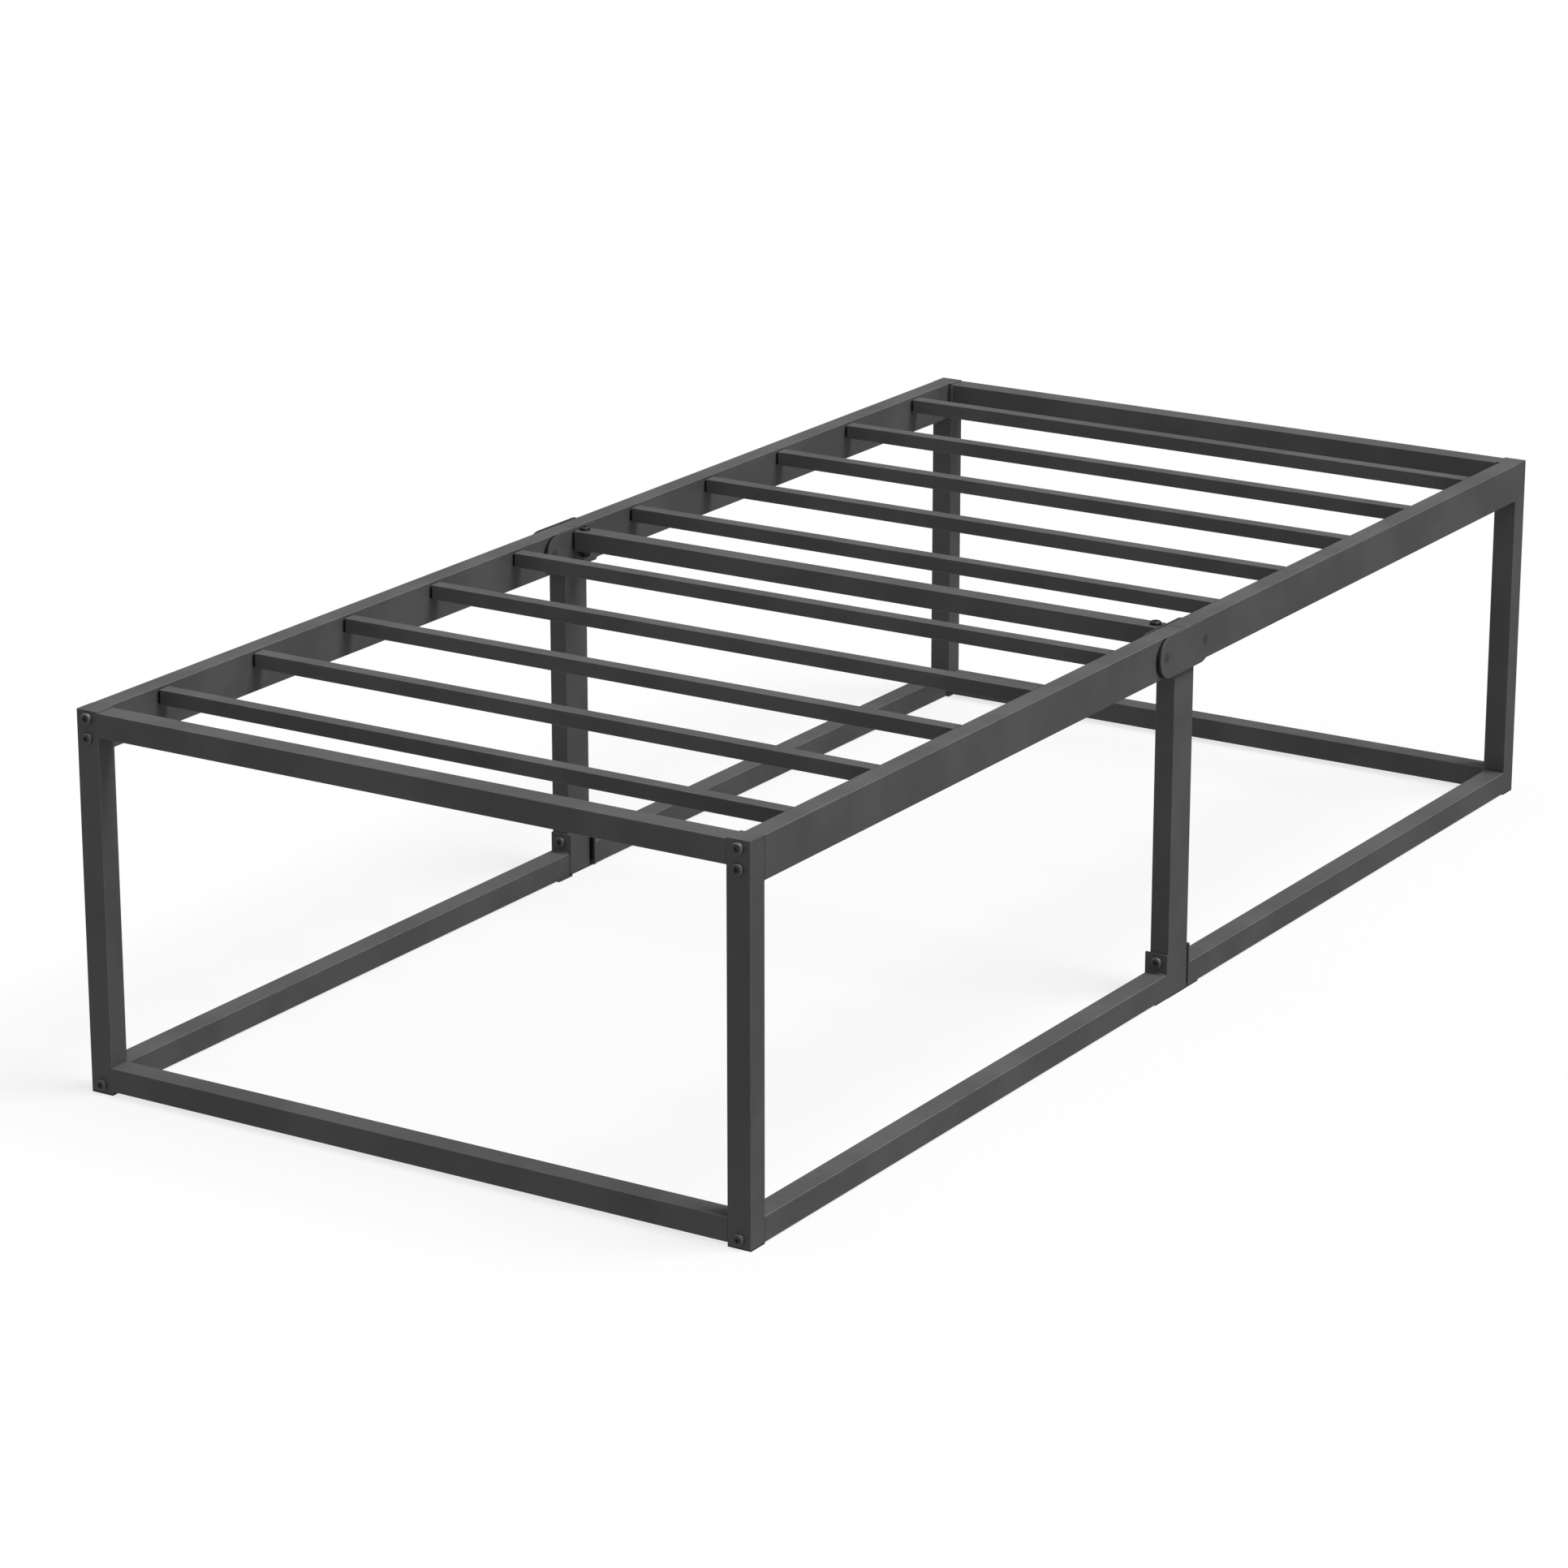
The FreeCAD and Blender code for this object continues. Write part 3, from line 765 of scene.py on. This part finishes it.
@dataclass
class MiddleSupport(WeldedAssembly):
    """Middle posts with their saddles, glides, ledges and bolts."""

    bead_radius: float = 0.0015
    inner_inset: float = 0.002
    outer_inset: float = 0.004

    def nodes(self) -> list[str]:
        """List the CAD nodes of the middle support.

        Returns:
            Their names.
        """
        names = [f"{side}_middle_post" for side in SIDES]
        return names + [f"middle_post_{part}" for part in ("saddles", "glides", "ledges", "bolts")]

    def welds(self) -> WeldRun:
        """Lay the beads under the saddles, on the near face of each post.

        Returns:
            The run of beads.
        """
        run = WeldRun("middle_support_welds", radius=self.bead_radius)
        for outward, side in zip((-1, 1), SIDES):
            low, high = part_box(f"{side}_middle_post")
            inner = high.x if side == "left" else low.x
            outer = inner + outward * (high.x - low.x) - outward * self.outer_inset
            run.add((inner + outward * self.inner_inset, low.y, high.z), (outer, low.y, high.z))
        return run


@dataclass
class Crossbar(WeldedAssembly):
    """Middle crossbar on the two brackets that hang on the inner hinge plates."""

    bead_radius: float = 0.0012
    bead_inset: float = 0.003

    def nodes(self) -> list[str]:
        """List the CAD nodes of the crossbar.

        Returns:
            Their names.
        """
        small = ("caps", "brackets", "bolts", "nuts")
        return ["middle_crossbar"] + [f"crossbar_{part}" for part in small]

    def welds(self) -> WeldRun:
        """Lay the beads down both sides and under the foot of each bracket's leg.

        Returns:
            The run of beads.
        """
        run = WeldRun("crossbar_bracket_welds", radius=self.bead_radius)
        low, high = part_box("crossbar_brackets")
        for x in (low.x, high.x):
            for y in (low.y, high.y):
                run.add((x, y, low.z + self.bead_inset), (x, y, high.z - self.bead_inset))
            run.add((x, low.y + self.bead_inset, low.z), (x, high.y - self.bead_inset, low.z))
        return run


@dataclass
class FoldHinge(SubAssembly):
    """Hinge plates, liners, pads, rest plates, pivots and rivets of the fold."""

    def nodes(self) -> list[str]:
        """List the CAD nodes of the fold.

        Returns:
            Their names.
        """
        # The hinge liners take the black plastic finish: partly a real liner, and partly a dark
        # sheet that stands in for the shade in the gap between each hinge plate and its rail.
        return ["outer_hinge_plates", "inner_hinge_plates", "hinge_liners", "far_end_pads",
                "far_rest_plates", "hinge_pivots", "pivot_sleeves", "fixing_rivets",
                "fixing_sleeves"]


@dataclass
class Studio:
    """Pale floor that curves up far away, soft lights and the camera."""

    floor_radius: float = 14.0
    curve_radius: float = 6.0
    curve_steps: int = 12
    turn_steps: int = 96
    seam_gap: float = 1e-5
    wall: float = 10.0
    floor_paint: Colour = (0.22, 0.22, 0.22)
    floor_tone: Colour = (0.9, 0.9, 0.9)
    glow: float = 0.84
    sky: float = 0.35
    key_strength: float = 2.6
    key_from: tuple[float, float, float] = (0.38, 0.12, 0.9)
    key_angle: float = 28.0
    eye: tuple[float, float, float] = (3.24435, -5.3261, 2.16843)
    aim: tuple[float, float, float] = (1.2631364, 0.0000735, 0.5626335)
    lens: float = 121.608
    sensor: float = 36.0
    shift: tuple[float, float] = (0.00108, 0.00056)
    far_clip: float = 200.0

    def outline(self) -> list[tuple[float, float]]:
        """Work out the floor's section, from its flat rim up the curve to the wall's top.

        Returns:
            Distance from the middle and height of each point.
        """
        points = [(self.floor_radius, 0.0)]
        for step in range(1, self.curve_steps + 1):
            angle = math.radians(90.0 * step / self.curve_steps)
            points.append((self.floor_radius + self.curve_radius * math.sin(angle),
                           self.curve_radius * (1.0 - math.cos(angle))))
        points.append((self.floor_radius + self.curve_radius, self.curve_radius + self.wall))
        return points

    def floor(self) -> None:
        """Build the floor as a turned bowl that diffuse, glossy and shadow rays pass through."""
        form = bmesh.new()
        last = form.verts.new((0.0, 0.0, 0.0))
        for x, z in self.outline():
            vert = form.verts.new((x, 0.0, z))
            form.edges.new((last, vert))
            last = vert
        bmesh.ops.spin(form, geom=form.verts[:] + form.edges[:], axis=(0, 0, 1), cent=(0, 0, 0),
                       angle=2.0 * math.pi, steps=self.turn_steps, use_merge=True)
        bmesh.ops.remove_doubles(form, verts=form.verts, dist=self.seam_gap)
        floor = smooth_object("studio_floor", form)
        bench = NodeBench("pale_floor")
        bench.set(Base_Color=(*self.floor_paint, 1.0), Roughness=1.0, Specular_IOR_Level=0.0,
                  Emission_Color=(*self.floor_tone, 1.0), Emission_Strength=self.glow)
        floor.data.materials.append(bench.material)
        floor.visible_diffuse = False
        floor.visible_glossy = False
        floor.visible_shadow = False

    def lights(self) -> None:
        """Set the even sky light and one broad soft key light."""
        world = bpy.data.worlds.new("studio_sky")
        bpy.context.scene.world = world
        world.use_nodes = True
        back = world.node_tree.nodes["Background"]
        back.inputs["Color"].default_value = (1.0, 1.0, 1.0, 1.0)
        back.inputs["Strength"].default_value = self.sky
        sun = bpy.data.lights.new("soft_key", "SUN")
        sun.energy = self.key_strength
        sun.angle = math.radians(self.key_angle)
        lamp = bpy.data.objects.new("soft_key", sun)
        lamp.rotation_euler = Vector(self.key_from).to_track_quat("Z", "Y").to_euler()
        bpy.context.scene.collection.objects.link(lamp)

    def camera(self) -> None:
        """Place the camera."""
        data = bpy.data.cameras.new("studio_camera")
        data.sensor_width = self.sensor
        data.lens = self.lens
        data.shift_x, data.shift_y = self.shift
        data.clip_end = self.far_clip
        camera = bpy.data.objects.new("studio_camera", data)
        camera.location = self.eye
        camera.rotation_euler = self.aim
        bpy.context.scene.collection.objects.link(camera)
        bpy.context.scene.camera = camera

    def build(self) -> None:
        """Build floor, lights and camera."""
        self.floor()
        self.lights()
        self.camera()
        bpy.context.scene.view_settings.view_transform = "Standard"
        LOG.info("studio is set")


def main() -> None:
    """Load the frame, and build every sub-assembly and the studio."""
    logging.basicConfig(level=logging.INFO, format="%(name)s: %(message)s")
    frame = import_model()
    shop = Paintshop(frame)
    for end, body in (("near", "near_half"), ("far", "far_half")):
        EndFrame(shop, body, end).build()
        Deck(shop, body, end).build()
    MiddleSupport(shop, "near_half").build()
    Crossbar(shop, "far_half").build()
    FoldHinge(shop).build()
    Studio().build()


if __name__ == "__main__":
    main()
